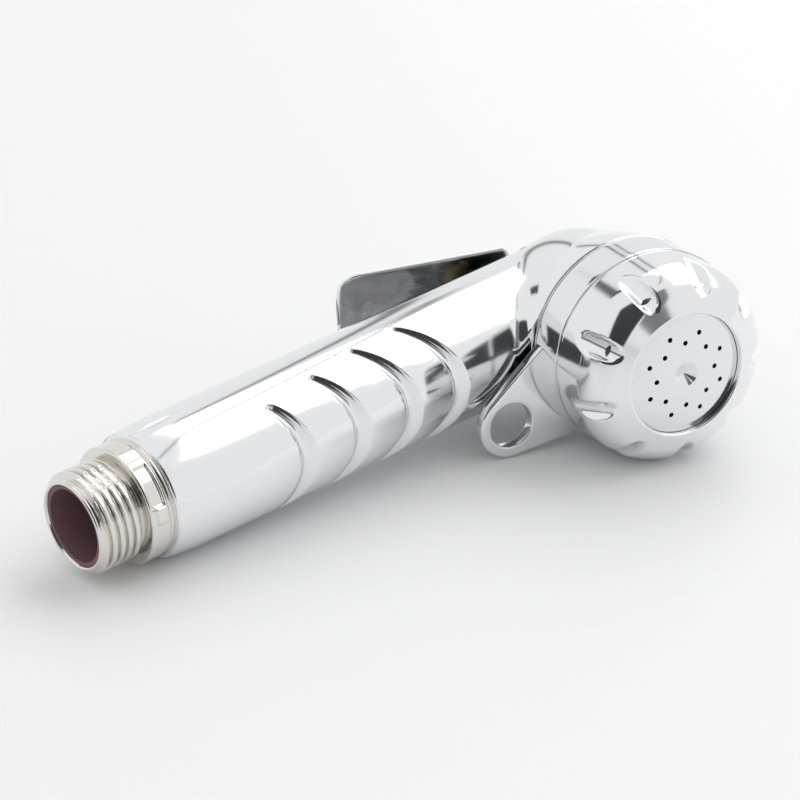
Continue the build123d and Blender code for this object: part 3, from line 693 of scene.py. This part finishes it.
def blade_points(size):
    """Curved blade with rounded free corners, in the lever frame."""
    length, half, thick, corner = size.length, size.half_width, size.thickness / 2, size.corner
    along = np.concatenate([
        np.linspace(-0.6, 4.6, 5), np.linspace(4.8, 9.0, 28), np.linspace(9.5, length - corner, 44),
        length - corner + corner * np.sin(np.linspace(0.03, math.pi / 2, 46)),
    ])
    rows = []
    loop = np.linspace(0, 2 * math.pi, LEVER_COLUMNS, endpoint=False)
    square = np.sign(np.cos(loop)) * np.abs(np.cos(loop)) ** 0.35
    raised = np.sign(np.sin(loop)) * np.abs(np.sin(loop)) ** 0.6
    for u in along:
        into = max(0.0, u - (length - corner)) / corner
        wide = half - corner * (1 - math.sqrt(max(0.0, 1 - into ** 2)))
        wide = NECK_HALF + (wide - NECK_HALF) * float(smooth_step(np.array(u), NECK_FROM, NECK_TO))
        tip = max(0.0, (u - (length - thick)) / thick)
        deep = thick * math.sqrt(max(0.0, 1 - tip ** 2)) + 1e-3
        ring = size.curve_radius - thick
        bent = ((wide - thick) * square + deep * np.cos(loop)) / ring
        out = ring + deep * raised
        rows.append(np.stack([ring - out * np.cos(bent), out * np.sin(bent),
                              np.full_like(loop, u)], axis=-1))
    first, last = rows[0], rows[-1]
    closing = [last * (0.999, 0.6, 1.0), last * (0.998, 0.1, 1.0)]
    return np.array([first * (0.2, 0.2, 1)] + rows + closing)


def barrel_points(size):
    """Round barrel of the lever across the pin, in the lever frame."""
    radius, half, edge = size.barrel_radius, size.barrel_half, 0.3
    profile = [(PIN_HOLE, -half), (radius - edge, -half), (radius, -half + edge),
               (radius, half - edge), (radius - edge, half), (PIN_HOLE, half), (PIN_HOLE, -half)]
    radial, y, turn = spun_rows(profile, 48)
    return np.stack([radial * np.cos(turn), y, radial * np.sin(turn)], axis=-1)


# ---------------------------------------------------------------- hanger

BAND_BORE, HANGER_COLUMNS = 18.45, 360
TAB_FOOT = 18.6               # where the tab ends inside the band


def band_points(size):
    """Band of the hanger round the spray axis, in the head frame."""
    front, back, r = size.band_front, size.band_back, size.band_radius
    edge = ((0.6, 0.0), (0.2, 0.05), (0.05, 0.2), (0.0, 0.5), (0.0, 1.5))
    profile = [(BAND_BORE, back)] + [(r - inwards, back + above) for inwards, above in edge]
    profile += [(r - inwards, front - above) for inwards, above in reversed(edge)]
    profile += [(BAND_BORE, front), (BAND_BORE, back)]
    radius, x, turn = spun_rows(profile, HANGER_COLUMNS)
    return np.stack([x, radius * np.cos(turn), radius * np.sin(turn)], axis=-1)


def tab_outline(turn, size):
    """Distance from the middle of the eye to the edge of the tab in each direction."""
    end, root = size.tab_end, size.tab_reach - TAB_FOOT
    lean = math.asin((size.tab_root - end) / root)
    side = end / np.maximum(np.sin(np.abs(turn) - lean), 1e-3)
    base = root / np.maximum(np.cos(turn), 1e-3)
    return np.where(np.abs(turn) > math.pi / 2 + lean, end, np.minimum(base, side))


def tab_points(size):
    """Flat tab with its eye, in the head frame before it is turned to its tilt."""
    turn = np.linspace(-math.pi, math.pi, HANGER_COLUMNS, endpoint=False)
    edge = tab_outline(turn, size)
    front, back, hole = size.tab_front, size.tab_back, np.full_like(turn, size.eye)
    outer = ((1.0, 0.0), (0.45, 0.0), (0.13, 0.13), (0.0, 0.45))
    inner = ((0.8, 0.0), (0.3, 0.0), (0.08, 0.08), (0.0, 0.3))
    places = [(edge - inwards, front - below) for inwards, below in outer]
    places += [(edge - inwards, back + above) for inwards, above in reversed(outer)]
    places += [(hole + outwards, back + above) for outwards, above in inner]
    places += [(hole + outwards, front - below) for outwards, below in reversed(inner)]
    places.append(places[0])
    rows = []
    for reach, x in places:
        across, toward = reach * np.sin(turn), reach * np.cos(turn)
        rows.append(np.stack([np.full_like(turn, x), toward - size.tab_reach, across], axis=-1))
    return np.array(rows)


# ---------------------------------------------------------------- operators

def group_of(context, part):
    """The property group of one part of the sprayer."""
    return getattr(context.scene, "sprayer_" + part)


class SPRAYER_OT_finishes(bpy.types.Operator):
    """Gives every carried-over piece its finish"""
    bl_idname = "sprayer.finishes"
    bl_label = "Finishes"

    def execute(self, context):
        for part in RECORD["subparts"]:
            node = frame["nodes"][part["node"]]
            node.data.materials.clear()
            node.data.materials.append(finish(part["material_slot"]))
        return {"FINISHED"}


class SPRAYER_OT_body(bpy.types.Operator):
    """Builds the plated shell of handle and head"""
    bl_idname = "sprayer.body"
    bl_label = "Body shell"

    def execute(self, context):
        bm = grid_of(body_points(Sizes(group_of(context, "body"))))
        new_piece("shell_skin", bm, HEAD, "handle", "plated_shell", ["body_shell"])
        return {"FINISHED"}


class SPRAYER_OT_nozzle(bpy.types.Operator):
    """Builds the fluted nozzle ring"""
    bl_idname = "sprayer.nozzle"
    bl_label = "Nozzle ring"

    def execute(self, context):
        bm = grid_of(ring_points(Sizes(group_of(context, "nozzle"))))
        new_piece("fluted_ring", bm, HEAD, "nozzle", "plated_ring", ["nozzle_ring"])
        return {"FINISHED"}


class SPRAYER_OT_inlet(bpy.types.Operator):
    """Builds the collar and the helical hose thread"""
    bl_idname = "sprayer.inlet"
    bl_label = "Hose inlet"

    def execute(self, context):
        bm = grid_of(nipple_points(Sizes(group_of(context, "inlet"))))
        new_piece("threaded_inlet", bm, HANDLE, "handle", "nickel_thread", ["inlet_nipple"])
        return {"FINISHED"}


class SPRAYER_OT_lever(bpy.types.Operator):
    """Builds the thumb lever"""
    bl_idname = "sprayer.lever"
    bl_label = "Thumb lever"

    def execute(self, context):
        size = Sizes(group_of(context, "lever"))
        bm = join_grids(blade_points(size), barrel_points(size))
        blade = new_piece("lever_blade", bm, lever_matrix(), "lever", "plated_lever",
                          ["thumb_lever"])
        blade.data.materials.append(finish("lever_underside"))
        inward = (lever_matrix().to_3x3() @ Vector((1, 0, 0))).normalized()
        for face in blade.data.polygons:
            if face.normal.dot(inward) > UNDERSIDE_FACING:
                face.material_index = 1
        return {"FINISHED"}


class SPRAYER_OT_hanger(bpy.types.Operator):
    """Builds the hanger band and its tab"""
    bl_idname = "sprayer.hanger"
    bl_label = "Hanger ring"

    def execute(self, context):
        size = Sizes(group_of(context, "hanger"))
        turn = np.array(Matrix.Rotation(size.tab_tilt, 3, "X"))
        bm = join_grids(band_points(size), tab_points(size) @ turn.T)
        new_piece("hanger_band", bm, HEAD, "hanger", "plated_hanger", ["hanger_ring"])
        return {"FINISHED"}


UNDERSIDE_FACING = 0.85       # how squarely a face looks inwards to count as the underside

# ---------------------------------------------------------------- studio

BOARD_DISTANCE = 1.3          # of the boards, strips and light from the origin, in metres
BOARD_BLUE = 1.04             # the boards are a touch blue
# Boards: azimuths and elevations spanned in degrees, and shade.
BOARDS = (
    ("board_front", (300, 362), (-4, 64), 0.035),
    ("board_front_edge", (362, 382), (8, 60), 0.20),
    ("board_left", (268, 300), (-2, 22), 0.22),
    ("board_back", (192, 205), (38, 58), 0.05),
)
# Strips: both ends as azimuth and elevation in degrees, width in metres and shade.
STRIPS = (
    ("strip_top", (40, 73), (155, 30), 0.028, 0.06),
    ("strip_side", (159.5, 4), (158.5, 55), 0.032, 0.10),
)
SOFTBOX = dict(azimuth=105, elevation=50, size=(1.67, 1.0), radiance=1.25)


def matt(name, colour, roughness):
    """Plain matt finish for the floor and the boards."""
    return surface(name, colour, colour, 0.0, roughness, 0.05, 0.05, 30.0)


def heading(azimuth, elevation):
    """Unit direction; azimuth is counted from +X towards +Y."""
    a, e = math.radians(azimuth), math.radians(elevation)
    return Vector((math.cos(a) * math.cos(e), math.sin(a) * math.cos(e), math.sin(e)))


def stage_sheet(name, size, material, matrix=Matrix.Identity(4)):
    """A flat sheet that belongs to the studio."""
    bm = bmesh.new()
    bmesh.ops.create_grid(bm, x_segments=2, y_segments=2, size=size)
    bmesh.ops.transform(bm, matrix=matrix, verts=bm.verts)
    mesh = bpy.data.meshes.new(name)
    bm.to_mesh(mesh)
    bm.free()
    mesh.materials.append(material)
    shown = bpy.data.objects.new(name, mesh)
    bpy.context.scene.collection.objects.link(shown)
    return shown


def reflected_only(name, axes, middle, colour):
    """A dark sheet that shows only in the plating's reflections."""
    matrix = Matrix.Translation(middle) @ Matrix(axes).transposed().to_4x4()
    shown = stage_sheet(name, 0.5, matt(name, colour, 0.9), matrix)
    shown.visible_camera = False
    shown.visible_shadow = False
    shown.visible_diffuse = False


def board(name, azimuths, elevations, shade):
    """A board that spans a range of directions."""
    middle = heading(sum(azimuths) / 2, sum(elevations) / 2)
    spans = [2 * BOARD_DISTANCE * math.tan(math.radians(ends[1] - ends[0]) / 2)
             for ends in (azimuths, elevations)]
    across = Vector((0, 0, 1)).cross(middle).normalized()
    rise = middle.cross(across)
    width = spans[0] * math.cos(math.radians(sum(elevations) / 2))
    reflected_only(name, (across * width, rise * spans[1], -middle), middle * BOARD_DISTANCE,
                   (shade, shade, shade * BOARD_BLUE))


def strip(name, first, last, width, shade):
    """A narrow strip between two directions."""
    a, b = heading(*first) * BOARD_DISTANCE, heading(*last) * BOARD_DISTANCE
    middle, run = (a + b) / 2, b - a
    across = run.cross(middle).normalized() * width
    reflected_only(name, (run, across, run.cross(across).normalized()), middle,
                   (shade, shade, shade))


def softbox(azimuth, elevation, size, radiance):
    """An area light whose face shines with the given radiance."""
    lamp = bpy.data.lights.new("Softbox", "AREA")
    lamp.shape = "RECTANGLE"
    lamp.size, lamp.size_y = size
    lamp.energy = radiance * math.pi * size[0] * size[1]
    shown = bpy.data.objects.new("Softbox", lamp)
    bpy.context.scene.collection.objects.link(shown)
    toward = heading(azimuth, elevation)
    shown.location = toward * BOARD_DISTANCE
    shown.rotation_mode = "QUATERNION"
    shown.rotation_quaternion = toward.to_track_quat("Z", "Y")


def set_up_camera(context, look):
    """Places the camera from the head frame, looking along -back."""
    lens = bpy.data.cameras.new("Camera")
    lens.lens = look.lens
    lens.sensor_width = 36.0
    lens.dof.use_dof = False
    lens.clip_start, lens.clip_end = 0.01, 50.0
    camera = bpy.data.objects.new("Camera", lens)
    context.scene.collection.objects.link(camera)
    turn = Matrix(HEAD.to_3x3().normalized())
    right = turn @ Vector(look.right).normalized()
    back = turn @ Vector(look.back).normalized()
    right = (right - back * right.dot(back)).normalized()
    axes = Matrix((right, back.cross(right), back)).transposed().to_4x4()
    camera.matrix_world = Matrix.Translation(HEAD @ Vector(look.place)) @ axes
    context.scene.camera = camera


class SPRAYER_OT_stage(bpy.types.Operator):
    """Sets up the camera, floor and light"""
    bl_idname = "sprayer.stage"
    bl_label = "Studio"

    def execute(self, context):
        look = group_of(context, "studio")
        set_up_camera(context, look)
        stage_sheet("Floor", 4.0, matt("Floor", look.floor_colour, 0.5))
        world = bpy.data.worlds.new("Studio")
        context.scene.world = world
        world.use_nodes = True
        background = world.node_tree.nodes["Background"]
        background.inputs["Color"].default_value = (1, 1, 1, 1)
        background.inputs["Strength"].default_value = look.sky
        for values in BOARDS:
            board(*values)
        for values in STRIPS:
            strip(*values)
        softbox(**SOFTBOX)
        context.scene.view_settings.view_transform = "Standard"
        return {"FINISHED"}


# ---------------------------------------------------------------- panel and run

class SPRAYER_PT_panel(bpy.types.Panel):
    """Lists the sprayer's sizes and build steps"""
    bl_idname = "SPRAYER_PT_panel"
    bl_label = "Bath Sprayer"
    bl_space_type = "VIEW_3D"
    bl_region_type = "UI"
    bl_category = "Sprayer"

    def draw(self, context):
        for part in GROUPS:
            group = group_of(context, part)
            for name in group.bl_rna.properties.keys():
                if name not in OWN_NAMES:
                    self.layout.prop(group, name)
        for step in STEPS:
            self.layout.operator(step.bl_idname)


GROUPS = {
    "body": SprayerBody,
    "nozzle": SprayerNozzle,
    "inlet": SprayerInlet,
    "lever": SprayerLever,
    "hanger": SprayerHanger,
    "studio": SprayerStudio,
}
STEPS = (SPRAYER_OT_finishes, SPRAYER_OT_body, SPRAYER_OT_nozzle, SPRAYER_OT_inlet,
         SPRAYER_OT_lever, SPRAYER_OT_hanger, SPRAYER_OT_stage)
CLASSES = (*GROUPS.values(), *STEPS, SPRAYER_PT_panel)


def register():
    """Registers the classes and puts the property groups on the scene."""
    for cls in CLASSES:
        bpy.utils.register_class(cls)
    for name, group in GROUPS.items():
        setattr(bpy.types.Scene, "sprayer_" + name, PointerProperty(type=group))


def unregister():
    """Takes back what register added."""
    for name in GROUPS:
        delattr(bpy.types.Scene, "sprayer_" + name)
    for cls in reversed(CLASSES):
        bpy.utils.unregister_class(cls)


def main():
    """Builds everything in order."""
    register()
    bpy.ops.sprayer.finishes()
    bpy.ops.sprayer.body()
    bpy.ops.sprayer.nozzle()
    bpy.ops.sprayer.inlet()
    bpy.ops.sprayer.lever()
    bpy.ops.sprayer.hanger()
    bpy.ops.sprayer.stage()


if __name__ == "__main__":
    main()
